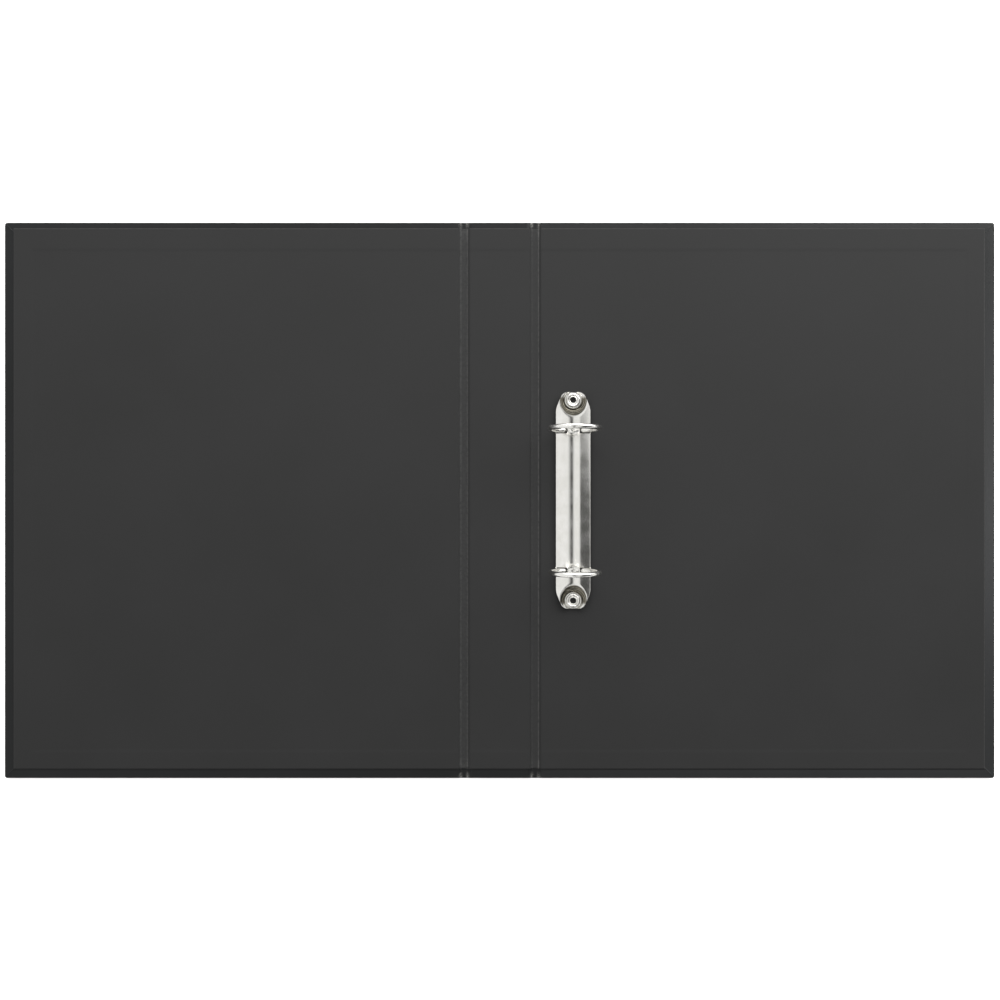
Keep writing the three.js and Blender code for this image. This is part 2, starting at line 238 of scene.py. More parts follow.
def sheet_path(level):
    """The covering's section from its turned-in edge at the head, round under the board, to its
    turned-in edge at the tail: (distance in from the case's edge, height) for half of it."""
    radius = min(FOLD_RADIUS, level * 0.44)
    inset = [TURN_IN, 12 * MM, 8 * MM, 6 * MM, 4 * MM, 3 * MM, 2.3 * MM, 1.6 * MM, 1.1 * MM]
    path = [(d, level - RIM_FALL * (1 - smooth_step(0, RIM_REACH, d - radius))) for d in inset]
    fold_top = level - RIM_FALL
    for i in range(7):
        angle = math.pi / 2 * i / 6
        path.append(
            (radius * (1 - math.sin(angle)), fold_top - radius * (1 - math.cos(angle)))
        )
    for i in range(7):
        angle = math.pi / 2 * i / 6
        path.append((radius * (1 - math.cos(angle)), radius * (1 - math.sin(angle))))
    path += [(d, 0.0) for d in (1.5 * MM, 3 * MM, 8 * MM)]
    return path


def covering_band(name, xs, level_at):
    """The covering over the spine or over a hinge: a band that is folded in at the head and tail.
    Where it is pressed down its folds stand out a little."""
    across = np.linspace(8 * MM, (head - tail) - 8 * MM, 60)[1:-1]
    vertices = []
    for x in xs:
        bulge = 0.25 * (covering_top - level_at(x))
        path = sheet_path(level_at(x))
        path = [(d - bulge * (1 - smooth_step(0, 4 * MM, d)), z) for d, z in path]
        vertices += [(x, head - d, z) for d, z in path]
        vertices += [(x, head - d, 0.0) for d in across]
        vertices += [(x, tail + d, z) for d, z in reversed(path)]
    columns = len(vertices) // len(xs)
    made = add_mesh(name, vertices, grid_faces(len(xs), columns))
    return thicken(plan_uv(turn_faces(made, up=-1)), SHEET)


def panel_outline(low, high, fore_edge, inset, height):
    """Points round the head, fore edge and tail of a cover, moved in by inset. The corners are arcs
    that shrink to points as the inset grows."""
    hinge_x, edge_x, inward = (
        (high.x, low.x + inset, 1) if fore_edge < 0 else (low.x, high.x - inset, -1)
    )
    radius = max(CORNER_RADIUS - inset, 0.03 * MM)
    top, bottom = high.y - inset, low.y + inset
    along = [1.0, *np.linspace(0.985, 0.03, 50), 0.012, 0.006, 0.003, 0.0012, 0.0005]
    corner_x = edge_x + inward * radius
    run = hinge_x - corner_x
    height_run = (top - radius) - (bottom + radius)
    points = [(corner_x + run * t, top, height) for t in along]
    lift = MITRE_RIDGE if inset > CORNER_RADIUS and height > 0 else 0.0
    fold = [math.pi / 2 * i / 8 for i in range(9)]
    for angle in fold:
        x = corner_x - inward * radius * math.sin(angle)
        points.append((x, top - radius * (1 - math.cos(angle)), height + lift))
    down = [*reversed(along[-6:-1]), *np.linspace(0.05, 0.95, 60)]
    down += [1 - t for t in along[-6:-1]]
    points += [(edge_x, top - radius - height_run * t, height) for t in down]
    for angle in reversed(fold):
        x = corner_x - inward * radius * math.sin(angle)
        points.append((x, bottom + radius * (1 - math.cos(angle)), height + lift))
    points += [(corner_x + run * t, bottom, height) for t in reversed(along)]
    return points


def fill_outside(made, rim, holes):
    """Closes a panel's outside face within its last rim of points, but for round (x, y) holes."""
    mesh = bmesh.new()
    mesh.from_mesh(made.data)
    loops = [list(mesh.verts)[-rim:]]
    for x, y in holes:
        angles = np.linspace(0, 2 * math.pi, 64, endpoint=False)
        circle = [(x + RIVET_HOLE * math.cos(a), y + RIVET_HOLE * math.sin(a), 0.0) for a in angles]
        loops.append([mesh.verts.new(point) for point in circle])
    edges = []
    for loop in loops:
        for pair in zip(loop, loop[1:] + loop[:1]):
            edges.append(mesh.edges.get(pair) or mesh.edges.new(pair))
    bmesh.ops.triangle_fill(mesh, use_beauty=True, edges=edges)
    for face in mesh.faces:
        face.smooth = True
    mesh.to_mesh(made.data)
    mesh.free()


def covering_panel(name, low, high, fore_edge, holes=()):
    """The covering of a cover: three folded edges round one flat outside."""
    rows = [
        panel_outline(low, high, fore_edge, d, z) for d, z in sheet_path(covering_top)
    ]
    vertices = [point for row in rows for point in row]
    columns = len(rows[0])
    made = add_mesh(name, vertices, grid_faces(len(rows), columns))
    fill_outside(made, columns, holes)
    return even_shading(thicken(plan_uv(turn_faces(made, up=-1)), SHEET))


def sunk_inside(x, y, left, right):
    """How far the lining lies below its border level, which the turned-in covering holds up."""
    blur = 1.2 * MM
    share = smooth_step(-blur, blur, y - (tail + TURN_IN))
    share *= smooth_step(-blur, blur, (head - TURN_IN) - y)
    if left is not None:
        share *= smooth_step(-blur, blur, x - (left + TURN_IN))
    if right is not None:
        share *= smooth_step(-blur, blur, (right - TURN_IN) - x)
    return SUNK * share


def lining_ys():
    """Positions along the lining, close together where it dips inside the turned-in covering."""
    low, high = lining_low.y, lining_high.y
    tail_dip = tail + TURN_IN
    head_dip = head - TURN_IN
    return spaced(
        (low, 1 * MM),
        (low + 2 * MM, 2 * MM),
        (tail_dip - DIP_REACH, DIP_STEP),
        (tail_dip + DIP_REACH, LINING_STEP),
        (head_dip - DIP_REACH, DIP_STEP),
        (head_dip + DIP_REACH, 2 * MM),
        (high - 1 * MM, 0.2 * MM),
        (high, 1),
    )


def lining_panel(name, low, high, left=None, right=None):
    """A sheet of lining. left and right are the fore edges of the case, where it has them."""
    stops = [(low.x, 0.2 * MM), (low.x + 1 * MM, LINING_STEP)]
    dips = [left + TURN_IN] if left is not None else []
    dips += [right - TURN_IN] if right is not None else []
    for dip in dips:
        stops += [(dip - DIP_REACH, DIP_STEP), (dip + DIP_REACH, LINING_STEP)]
    stops += [(high.x - 1 * MM, 0.2 * MM)]
    xs = spaced(*stops, (high.x, 1))
    ys = lining_ys()
    vertices = []
    for x in xs:
        quiet = smooth_step(0, 12 * MM, min(x - low.x, high.x - x))
        for y in ys:
            z = inside - sunk_inside(x, y, left, right)
            z += quiet * 0.03 * MM * (ripple(x, y, 45 * MM) - 1)
            vertices.append((x, y, z))
    made = add_mesh(name, vertices, grid_faces(len(xs), len(ys)))
    return thicken(plan_uv(turn_faces(made, up=1)), LINING_SHEET)


def lining_groove(name, left, right):
    """The strip of lining pressed down into a hinge groove."""
    xs = np.linspace(left, right, 45)
    ys = lining_ys()
    vertices = []
    for x in xs:
        level = groove_level(x, left, right)
        for y in ys:
            share = (level - GROOVE_FLOOR) / (inside - GROOVE_FLOOR)
            sunk = sunk_inside(x, y, None, None) * min(1.0, max(0.0, share))
            crinkle = 0.03 * MM * ripple(x * 6, y, 9 * MM) * (1 - min(1.0, max(0.0, share)))
            vertices.append((x, y, level - sunk + crinkle))
    made = add_mesh(name, vertices, grid_faces(len(xs), len(ys)))
    return thicken(plan_uv(turn_faces(made, up=1)), LINING_SHEET)


# ---------------------------------------------------------------- the ring mechanism

HOUSING_HALF = (housing_high.x - housing_low.x) / 2
HOUSING_END = (housing_high.y - housing_low.y) / 2
BOSS_RISE = 0.6 * MM
BOSS_HALF_LENGTH = 2.8 * MM
BOSS_HALF_WIDTH = 1.4 * MM
CROWN = housing_high.z - inside - BOSS_RISE
ROLL = 1.3 * MM  # outside radius of the rolled long edges
NOSE_LENGTH = 9 * MM
NOSE_HALF = 5.8 * MM
NOSE_ROUND = 2.4 * MM
DISH_FLOOR = 0.75 * MM
DISH_RADIUS = 4.7 * MM
DISH_SLOPE = 0.85  # how much wider the dish grows for each unit up
SHOULDER = 2.2 * MM  # how softly the dish turns over into the arch
TURNING = 0.95 * MM  # distance between the turned rings in a dish
PLATE = 0.6 * MM  # the housing's thickness
PLATE_HOLE = 2.6 * MM  # radius of its hole for each rivet
SLOT_INNER = 3.6 * MM
SLOT_BOTTOM = 1.8 * MM
WIRE = (ring_high.y - ring_low.y) / 2
SLOT_HALF = WIRE + 0.4 * MM
RING_OUTER = (right_ring_high.x - ring_low.x) / 2
RING_RADIUS = RING_OUTER - WIRE
RING_CENTRE_Z = right_ring_high.z - RING_OUTER
JOINT_X = 0.3 * MM  # where the tips meet, from the centre line
JOINT_SLANT = 0.8  # how far the joint runs across for each unit along the wire's width
JOINT_GAP = 0.24 * MM
BEND_START = 6.2 * MM  # how far out from the centre line the wire turns down to the blade
BEND_RADIUS = 2.2 * MM
SHANK_BOTTOM = 1.7 * MM  # where the full wire stops, above the lining

# The arch is the circle through the crown that touches the rolled edges' circles.
roll_x = HOUSING_HALF - ROLL
rise = CROWN - ROLL
ARCH_RADIUS = CROWN + (roll_x**2 + ROLL**2 - rise**2) / (2 * (rise - ROLL))


def soft_min(a, b, blend):
    """The lower of two values, with the change from one to the other rounded off."""
    h = max(blend - abs(a - b), 0.0) / blend
    return min(a, b) - h * h * blend / 4


def half_width(y):
    """Half the housing's width, which tapers in to a nose at each end."""
    shoulder = HOUSING_END - NOSE_LENGTH
    taper = (HOUSING_HALF - NOSE_HALF) / NOSE_LENGTH
    past = abs(y) - shoulder
    width = HOUSING_HALF - taper * max(0.0, past)
    rounding = 2.5 * MM
    if abs(past) < rounding:
        width = HOUSING_HALF - taper * (past + rounding) ** 2 / (4 * rounding)
    to_end = max(0.0, HOUSING_END - abs(y))
    if to_end < NOSE_ROUND:
        width -= NOSE_ROUND - math.sqrt(NOSE_ROUND**2 - (NOSE_ROUND - to_end) ** 2)
    return width


def dish_level(x, y):
    """The height of the dish pressed down round the nearer rivet, with its turned rings."""
    radius = min(math.hypot(x, y - place) for place in rivet_ys)
    out = max(0.0, radius - DISH_RADIUS)
    steps = 0.035 * MM * math.sin(out / TURNING * 2 * math.pi)
    return DISH_FLOOR + out / DISH_SLOPE + steps * smooth_step(0, 0.5 * MM, out)


def boss_level(x, y):
    """The small oval boss between the slots of each ring, and the shallow moat round it."""
    change = 0.0
    for place in ring_ys:
        out = math.hypot(x / BOSS_HALF_LENGTH, (y - place) / BOSS_HALF_WIDTH)
        change += BOSS_RISE * smooth_step(0, 0.33, 1 - out)
        change -= 0.12 * MM * math.exp(-(((out - 1.12) / 0.12) ** 2))
    return change


def dents(x, y):
    """The dents that setting the rivets left in the noses."""
    near_end = smooth_step(HOUSING_END - NOSE_LENGTH, HOUSING_END - 4 * MM, abs(y))
    coarse = 0.05 * MM * ripple(x, y, 1.6 * MM)
    return near_end * (coarse + 0.03 * MM * ripple(x, y, 0.8 * MM))


def arch_level(x, width):
    """The arch's height, with its edge rolled down where it nears the housing's side."""
    roll_x = width - ROLL
    centre_z = CROWN - ARCH_RADIUS
    roll_z = centre_z + math.sqrt((ARCH_RADIUS - ROLL) ** 2 - roll_x**2)
    touch_x = roll_x * ARCH_RADIUS / (ARCH_RADIUS - ROLL)
    if abs(x) <= touch_x:
        return centre_z + math.sqrt(ARCH_RADIUS**2 - x * x)
    return roll_z + math.sqrt(max(0.0, ROLL**2 - (abs(x) - roll_x) ** 2))


def recessed(co):
    """How much painted shade a point of the housing gets, from 0 to 1: a dish's wall is painted dark,
    in turned rings.
    """
    x, z = co.x - mechanism_x, co.z - inside
    radius = min(math.hypot(x, co.y - place) for place in rivet_ys)
    wall = smooth_step(DISH_RADIUS - 0.1 * MM, DISH_RADIUS + 0.3 * MM, radius)
    wall *= smooth_step(-3 * MM, -0.5 * MM, rivet_ys[0] - abs(co.y))
    below = arch_level(x, max(half_width(co.y), abs(x) + 0.1 * MM)) - z
    bright_ring = max(0.0, -math.cos((radius - DISH_RADIUS) / TURNING * 2 * math.pi)) ** 3
    return wall * (1 - 0.45 * bright_ring) * smooth_step(0.2 * MM, 0.5 * MM, below)


def housing_section(y):
    """One section of the housing from its left lip to its right lip, as (x, z) pairs."""
    width = half_width(y)
    flattened = 0.55 * smooth_step(0, 5 * MM, abs(y) - (HOUSING_END - 5 * MM))
    shares = [SLOT_INNER / HOUSING_HALF * t for t in np.linspace(0, 1, 12)]
    inner = SLOT_INNER / HOUSING_HALF
    shares += [inner + (0.9 - inner) * t for t in np.linspace(0, 1, 34)[1:]]
    shares += [0.9 + 0.1 * math.sin(math.pi / 2 * t) for t in np.linspace(0, 1, 12)[1:]]
    half = []
    for share in shares:
        x = width * share
        level = arch_level(x, width) + boss_level(x, y)
        level -= flattened * max(0.0, level - ROLL)
        dish = dish_level(x, y)
        up_wall = smooth_step(0, 3 * MM, dish - DISH_FLOOR)
        half.append((x, soft_min(level, dish, 0.3 * MM + SHOULDER * up_wall)))
    edge = half[-1][1]
    curl = min(ROLL, edge * 0.5)
    tuck = curl * max(0.1, smooth_step(0.3 * MM, 2 * MM, HOUSING_END - abs(y)))
    for t in np.linspace(0, 1, 5)[1:]:
        half.append((width, edge + (curl - edge) * t))
    for t in np.linspace(0, 1, 7)[1:]:
        angle = math.pi / 2 * t
        half.append((width - tuck * (1 - math.cos(angle)), curl * (1 - math.sin(angle))))
    left = [(-x, z) for x, z in reversed(half[1:])]
    return left + half


def housing_shell():
    """The arched plate, with open slots for the half rings and a hole for each rivet."""
    fine, coarse = 0.35 * MM, 1.5 * MM
    ring_y = ring_ys[0]
    half_stops = [
        (0.0, coarse),
        (ring_y - SLOT_HALF - 1.8 * MM, fine),
        (ring_y - SLOT_HALF, 0.3 * MM),
        (ring_y + SLOT_HALF, coarse),
        (rivet_ys[0] - 11 * MM, 0.2 * MM),
        (HOUSING_END - NOSE_ROUND, 0.2 * MM),
        (HOUSING_END - 0.5 * MM, 0.1 * MM),
        (HOUSING_END, 1),
    ]
    upper = spaced(*half_stops)
    ys = [-y for y in reversed(upper[1:])] + upper
    sections = [housing_section(y) for y in ys]
    columns = len(sections[0])

    def keep(r, c):
        y = (ys[r] + ys[r + 1]) / 2
        x = (sections[r][c][0] + sections[r][c + 1][0]) / 2
        z = (sections[r][c][1] + sections[r][c + 1][1]) / 2
        if any(math.hypot(x, y - place) < PLATE_HOLE for place in rivet_ys):
            return False
        in_slot = any(abs(y - place) < SLOT_HALF for place in ring_ys)
        return not (in_slot and abs(x) > SLOT_INNER and z > SLOT_BOTTOM)

    vertices = [
        (mechanism_x + x, y, inside + z + dents(x, y) * smooth_step(0, 1 * MM, z))
        for y, section in zip(ys, sections)
        for x, z in section
    ]
    made = add_mesh("housing_shell", vertices, grid_faces(len(ys), columns, keep))
    # painted shade on the walls of the dishes round the rivets
    paint(made, "painted_dish_shade", recessed)
    trim_to_plan(thicken(turn_faces(made, up=1), PLATE))
    made.data.set_sharp_from_angle(angle=math.radians(50))
    return made


def trim_to_plan(made):
    """Fixes the housing's thickness in its mesh, and presses back what it pushed past the plan."""
    graph = bpy.context.evaluated_depsgraph_get()
    made.data = bpy.data.meshes.new_from_object(made.evaluated_get(graph))
    made.modifiers.clear()
    for v in made.data.vertices:
        v.co.y = min(max(v.co.y, -HOUSING_END), HOUSING_END)
        reach = half_width(v.co.y)
        v.co.x = min(max(v.co.x, mechanism_x - reach), mechanism_x + reach)


def sweep(name, centres, normals_up, radii, sides=28):
    """A round bar along a path in an XZ plane: one ring of points for each centre."""
    vertices = []
    for (x, y, z), (nx, nz), radius in zip(centres, normals_up, radii):
        for i in range(sides):
            angle = 2 * math.pi * i / sides
            out, side = radius * math.cos(angle), radius * math.sin(angle)
            vertices.append((x + nx * out, y + side, z + nz * out))
    faces = []
    for r in range(len(centres) - 1):
        for i in range(sides):
            a, b = r * sides + i, r * sides + (i + 1) % sides
            faces.append((a, b, b + sides, a + sides))
    faces.append(tuple(range(sides)))
    faces.append(tuple(range(len(vertices) - sides, len(vertices))))
    return add_mesh(name, vertices, faces)


def half_ring(name, side, ring_y, joint_x):
    """One half ring. Its tip is cut on the slant, and its foot turns down through the slot."""
    bend_angle = math.acos(BEND_START / RING_RADIUS)
    bend_x = BEND_START + BEND_RADIUS * math.cos(bend_angle)
    bend_z = RING_CENTRE_Z - (RING_RADIUS + BEND_RADIUS) * math.sin(bend_angle)
    tip_angle = math.pi / 2 - side * joint_x / RING_RADIUS
    centres, normals = [], []
    for angle in np.linspace(tip_angle, -bend_angle, 90):
        out, up = math.cos(angle), math.sin(angle)
        centres.append((RING_RADIUS * out, RING_CENTRE_Z + RING_RADIUS * up))
        normals.append((out, up))
    for angle in np.linspace(bend_angle, 0, 14)[1:]:
        out, up = math.cos(angle), math.sin(angle)
        centres.append((bend_x - BEND_RADIUS * out, bend_z + BEND_RADIUS * up))
        normals.append((out, -up))
    shank_x = bend_x - BEND_RADIUS
    for z in np.linspace(bend_z, inside + SHANK_BOTTOM, 5)[1:]:
        centres.append((shank_x, z))
        normals.append((1.0, 0.0))
    path = [(mechanism_x + side * x, ring_y, z) for x, z in centres]
    frames = [(side * nx, nz) for nx, nz in normals]
    made = sweep(name, path, frames, [WIRE] * len(path))
    slant_tip(made, side, ring_y, mechanism_x + joint_x)
    turn_faces(made)
    return soften(made, 0.18 * MM, segments=3, degrees=50)


def slant_tip(made, side, ring_y, joint_x):
    """Shears the wire near its tip, so that its end face lies on the joint's slant."""
    reach = 4 * MM
    for v in made.data.vertices:
        if v.co.z < RING_CENTRE_Z:
            continue
        share = 1 - smooth_step(0, reach, side * (v.co.x - joint_x))
        v.co.x += share * (JOINT_SLANT * (v.co.y - ring_y) + side * JOINT_GAP / 2)


def lathe(name, profile, centre, segments=72):
    """A turned piece from (radius, height) pairs that start and end on the axis."""
    vertices, faces = [], []
    for radius, z in profile[1:-1]:
        for i in range(segments):
            angle = 2 * math.pi * i / segments
            x, y = radius * math.cos(angle), radius * math.sin(angle)
            vertices.append((centre[0] + x, centre[1] + y, z))
    rings = len(profile) - 2
    for r in range(rings - 1):
        for i in range(segments):
            a, b = r * segments + i, r * segments + (i + 1) % segments
            faces.append((a, b, b + segments, a + segments))
    for ring, (_, z) in ((0, profile[0]), (rings - 1, profile[-1])):
        pole = len(vertices)
        vertices.append((centre[0], centre[1], z))
        for i in range(segments):
            a, b = ring * segments + i, ring * segments + (i + 1) % segments
            faces.append((a, b, pole))
    return turn_faces(add_mesh(name, vertices, faces))


def rivet(name, y):
    """A tubular rivet: a low domed head outside, and a dented rim rolled over in the dish, with a
    fold between it and the lip of the bore."""
    shank, bore, fold, rim = 2.5 * MM, 1.7 * MM, 2.35 * MM, 4.2 * MM
    seat = inside + DISH_FLOOR + 0.1 * MM
    rim_height, fold_height, lip_height = 1.05 * MM, 0.5 * MM, 0.3 * MM
    lift, crown, edge, edge_z, head_top = 0.02 * MM, 0.1 * MM, 0.32 * MM, 0.46 * MM, 0.8 * MM
    profile = [(0.0, lift)]
    for radius in (1.5 * MM, 3.0 * MM, 4.0 * MM):
        profile.append((radius, lift + crown * (radius / RIVET_HEAD) ** 4))
    for angle in np.linspace(-math.pi / 2, math.pi / 2, 9):
        out = RIVET_HEAD - edge + edge * math.cos(angle)
        profile.append((out, edge_z + edge * math.sin(angle)))
    profile += [(shank, head_top), (shank, seat)]
    rim_end = math.pi - math.asin(fold_height / rim_height)
    for angle in np.linspace(0, rim_end, 17):
        out = (rim + fold) / 2 + (rim - fold) / 2 * math.cos(angle)
        profile.append((out, seat + rim_height * math.sin(angle)))
    for angle in np.linspace(0.3, math.pi, 9):
        out = (fold + bore) / 2 + (fold - bore) / 2 * math.cos(angle)
        profile.append((out, seat + fold_height + lip_height * math.sin(angle)))
    profile += [(bore, seat - 0.6 * MM), (bore, 1.2 * MM), (0.0, 1.2 * MM)]
    made = lathe(name, profile, (mechanism_x, y))
    for v in made.data.vertices:
        if v.co.z > seat + 0.3 * MM:
            v.co.z += 0.07 * MM * ripple(v.co.x, v.co.y, 1.1 * MM)
    return made


# ---------------------------------------------------------------- materials


class Recipe:
    """A short way to write a node material: nodes are made by type and linked by socket name."""

    def __init__(self, name, colour, roughness, metallic=0.0, **settings):
        self.material = bpy.data.materials.new(name)
        self.material.use_nodes = True
        self.tree = self.material.node_tree
        self.shader = self.tree.nodes["Principled BSDF"]
        self.set("Base Color", (*colour, 1.0))
        self.set("Roughness", roughness)
        self.set("Metallic", metallic)
        for socket, value in settings.items():
            self.set(socket.replace("_", " "), value)

    def set(self, socket, value):
        self.shader.inputs[socket].default_value = value

    def node(self, kind, inputs=None, **settings):
        made = self.tree.nodes.new("ShaderNode" + kind)
        for name, value in settings.items():
            setattr(made, name, value)
        for name, value in (inputs or {}).items():
            if isinstance(value, bpy.types.NodeSocket):
                self.tree.links.new(value, made.inputs[name])
            else:
                made.inputs[name].default_value = value
        return made

    def feed(self, socket, value):
        self.tree.links.new(value, self.shader.inputs[socket])

    def plan(self, scale):
        uv = self.node("UVMap", uv_map="plan")
        scaled = self.node("VectorMath", {0: uv.outputs[0]}, operation="SCALE")
        scaled.inputs["Scale"].default_value = scale
        return scaled.outputs[0]

    def place(self, scale):
        where = self.node("TexCoord")
        scaled = self.node("VectorMath", {0: where.outputs["Object"]}, operation="SCALE")
        scaled.inputs["Scale"].default_value = scale
        return scaled.outputs[0]

    def noise(self, vector, scale, detail=3.0, roughness=0.55):
        made = self.node(
            "TexNoise",
            {"Vector": vector, "Scale": scale, "Detail": detail, "Roughness": roughness},
        )
        return made.outputs["Fac"]

    def ramp(self, value, low, high, out_low=0.0, out_high=1.0):
        made = self.node(
            "MapRange",
            {
                "Value": value,
                "From Min": low,
                "From Max": high,
                "To Min": out_low,
                "To Max": out_high,
            },
        )
        return made.outputs[0]

    def mix(self, share, first, second):
        made = self.node("Mix", data_type="RGBA")
        self.join(share, made.inputs[0])
        self.join(first, made.inputs[6])
        self.join(second, made.inputs[7])
        return made.outputs[2]

    def join(self, value, socket):
        if isinstance(value, bpy.types.NodeSocket):
            self.tree.links.new(value, socket)
        elif isinstance(value, tuple):
            socket.default_value = (*value, 1.0)
        else:
            socket.default_value = value

    def maths(self, operation, first, second):
        made = self.node("Math", operation=operation)
        self.join(first, made.inputs[0])
        self.join(second, made.inputs[1])
        return made.outputs[0]

    def bump(self, height, distance, strength=1.0):
        made = self.node("Bump", {"Height": height, "Distance": distance, "Strength": strength})
        self.feed("Normal", made.outputs[0])


def lining_material():
    """Matte dark grey paper: fine tooth, faint clouding, paler where it is creased, partly rubbed and
    partly a painted highlight, and a painted highlight along its cut edges.
    """
    r = Recipe("lining_paper", (0.03, 0.03, 0.03), 0.75, Specular_IOR_Level=0.1)
    plan = r.plan(1000)
    clouds = r.noise(plan, 0.012, 4.0)
    tooth = r.noise(plan, 3.2, 4.0, 0.6)
    colour = r.mix(r.ramp(clouds, 0.35, 0.65), (0.0219, 0.0220, 0.0218), (0.0247, 0.0248, 0.0248))
    colour = r.mix(r.ramp(tooth, 0.3, 0.75, 0.0, 0.35), colour, (0.034, 0.034, 0.034))
    wear_and_highlight = r.node("Attribute", attribute_name="wear_and_highlight").outputs["Fac"]
    patchy = r.maths("MULTIPLY", wear_and_highlight, r.ramp(r.noise(plan, 0.6), 0.25, 0.6))
    # painted highlight along the lining's cut edges, and partly painted highlight on the groove
    # creases, mixed in pale
    colour = r.mix(patchy, colour, (0.09, 0.09, 0.088))
    r.feed("Base Color", colour)
    r.feed("Roughness", r.ramp(clouds, 0.3, 0.7, 0.66, 0.8))
    r.bump(tooth, 0.02 * MM, 0.8)
    return r.material


def covering_material():
    """Black coated paper with a fine embossed grain, satin, scuffed pale along worn folds. Its fold
    and wall at the case's edge carry painted shade: near black, with less specular.
    """
    r = Recipe("covering_grain", (0.012, 0.0125, 0.0135), 0.42, Specular_IOR_Level=0.1)
    plan = r.plan(1000)
    cells = r.node("TexVoronoi", {"Vector": plan, "Scale": 1.5}, feature="SMOOTH_F1")
    grain = r.maths("ADD", cells.outputs["Distance"], r.noise(plan, 2.4, 3.0))
    clouds = r.noise(plan, 0.01, 3.0)
    colour = r.mix(r.ramp(clouds, 0.3, 0.7), (0.0118, 0.0123, 0.0123), (0.0149, 0.0154, 0.016))
    wear_and_highlight = r.node("Attribute", attribute_name="wear_and_highlight").outputs["Fac"]
    fleck = r.ramp(r.noise(plan, 0.9, 5.0, 0.7), 0.42, 0.62)
    edge = r.node("Attribute", attribute_name="edge").outputs["Fac"]
    # painted shade: the fold and wall at the case's edge are darkened to near black
    colour = r.mix(edge, colour, (0.003, 0.003, 0.003))
    colour = r.mix(r.maths("MULTIPLY", wear_and_highlight, fleck), colour, (0.25, 0.245, 0.23))
    r.feed("Base Color", colour)
    # painted shade: less specular on the fold and wall at the case's edge
    r.feed("Specular IOR Level", r.ramp(edge, 0.0, 1.0, 0.1, 0.02))
    r.feed("Roughness", r.ramp(grain, 0.3, 1.3, 0.5, 0.34))
    r.bump(grain, 0.05 * MM, 0.5)
    return r.material


def greyboard_material():
    """Recycled greyboard: felted fibres in grey and brown."""
    r = Recipe("greyboard", (0.25, 0.22, 0.18), 0.95)
    place = r.place(1000)
    fibres = r.noise(place, 1.2, 6.0, 0.75)
    r.feed("Base Color", r.mix(r.ramp(fibres, 0.3, 0.7), (0.2, 0.18, 0.15), (0.33, 0.3, 0.26)))
    r.bump(fibres, 0.05 * MM)
    return r.material


def nickel_material(name, roughness, scratch):
    """Nickel plate over steel: bright and slightly warm, with hazy patches and hairline scratches, and
    painted shade on the walls of its dishes.
    """
    r = Recipe(name, (0.80, 0.79, 0.755), roughness, 1.0)
    place = r.place(1000)
    haze = r.noise(place, 0.12, 4.0)
    streaks = r.node("Mapping", {"Vector": place, "Scale": (3.0, 0.06, 3.0)})
    lines = r.noise(streaks.outputs[0], 1.6, 3.0, 0.7)
    colour = r.mix(r.ramp(haze, 0.35, 0.65), (0.74, 0.73, 0.69), (0.82, 0.81, 0.78))
    # painted shade: the dish walls are darkened towards dark brown
    dish_shade_share = r.node("Attribute", attribute_name="painted_dish_shade").outputs["Fac"]
    r.feed("Base Color", r.mix(dish_shade_share, colour, (0.085, 0.074, 0.048)))
    rough = r.ramp(haze, 0.3, 0.75, roughness * 0.7, roughness * 1.5)
    r.feed("Roughness", r.maths("ADD", rough, r.ramp(lines, 0.55, 0.8, 0.0, scratch)))
    r.bump(lines, 0.004 * MM, 0.35)
    return r.material


def blade_material():
    """Zinc-plated steel inside the housing, duller than the nickel."""
    r = Recipe("zinc_steel", (0.2, 0.2, 0.19), 0.5, 1.0)
    spangle = r.noise(r.place(1000), 0.5, 5.0)
    r.feed("Base Color", r.mix(r.ramp(spangle, 0.3, 0.7), (0.1, 0.1, 0.095), (0.16, 0.16, 0.15)))
    r.feed("Roughness", r.ramp(spangle, 0.3, 0.7, 0.3, 0.5))
    return r.material


def floor_material():
    """A white studio floor, which gives off some of its own light so that it stays pale."""
    r = Recipe("studio_floor", (0.9, 0.9, 0.9), 0.6, Emission_Strength=0.5)
    r.set("Emission Color", (1.0, 1.0, 1.0, 1.0))
    soft = r.noise(r.place(1), 3.0, 2.0)
    r.feed("Base Color", r.mix(soft, (0.9, 0.9, 0.9), (0.92, 0.92, 0.92)))
    return r.material


def finish(piece, material, body=None, replaces=()):
    """Gives a piece its material, puts it on a body, and hides the CAD parts that it stands for."""
    piece.data.materials.clear()
    piece.data.materials.append(material)
    if body:
        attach(piece, body)
    if replaces:
        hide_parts(*replaces)
    return piece


covering = covering_material()
lining = lining_material()
greyboard = greyboard_material()
nickel = nickel_material("nickel_plate", roughness=0.16, scratch=0.1)
wire_nickel = nickel_material("nickel_wire", roughness=0.22, scratch=0.1)
zinc = blade_material()

# ---------------------------------------------------------------- wear, painted shade and painted highlights on the case


def edge_wear(co):
    """Wear of the covering: along its outer folds, most at the corners and at the hinge ends."""
    from_end = min(co.y - tail, head - co.y)
    from_fore = min(co.x - front_low.x, back_high.x - co.x)
    from_edge = min(from_end, from_fore)
    on_fold = 1 - smooth_step(0.1 * MM, 0.9 * MM, from_edge)
    corner = 1 - smooth_step(2 * MM, 9 * MM, math.hypot(from_end, from_fore))
    creases = [
        edge + side * 1.5 * MM
        for edge, side in (
            (front_high.x, 1),
            (spine_low.x, -1),
            (spine_high.x, 1),
            (back_low.x, -1),
        )
    ]
    crease = max(math.exp(-(((co.x - x) / (0.8 * MM)) ** 2)) for x in creases)
    hinge_end = crease * (1 - smooth_step(0.5 * MM, 4.5 * MM, from_end))
    return min(1.0, 0.06 * on_fold + 0.2 * corner * on_fold + 0.8 * hinge_end)


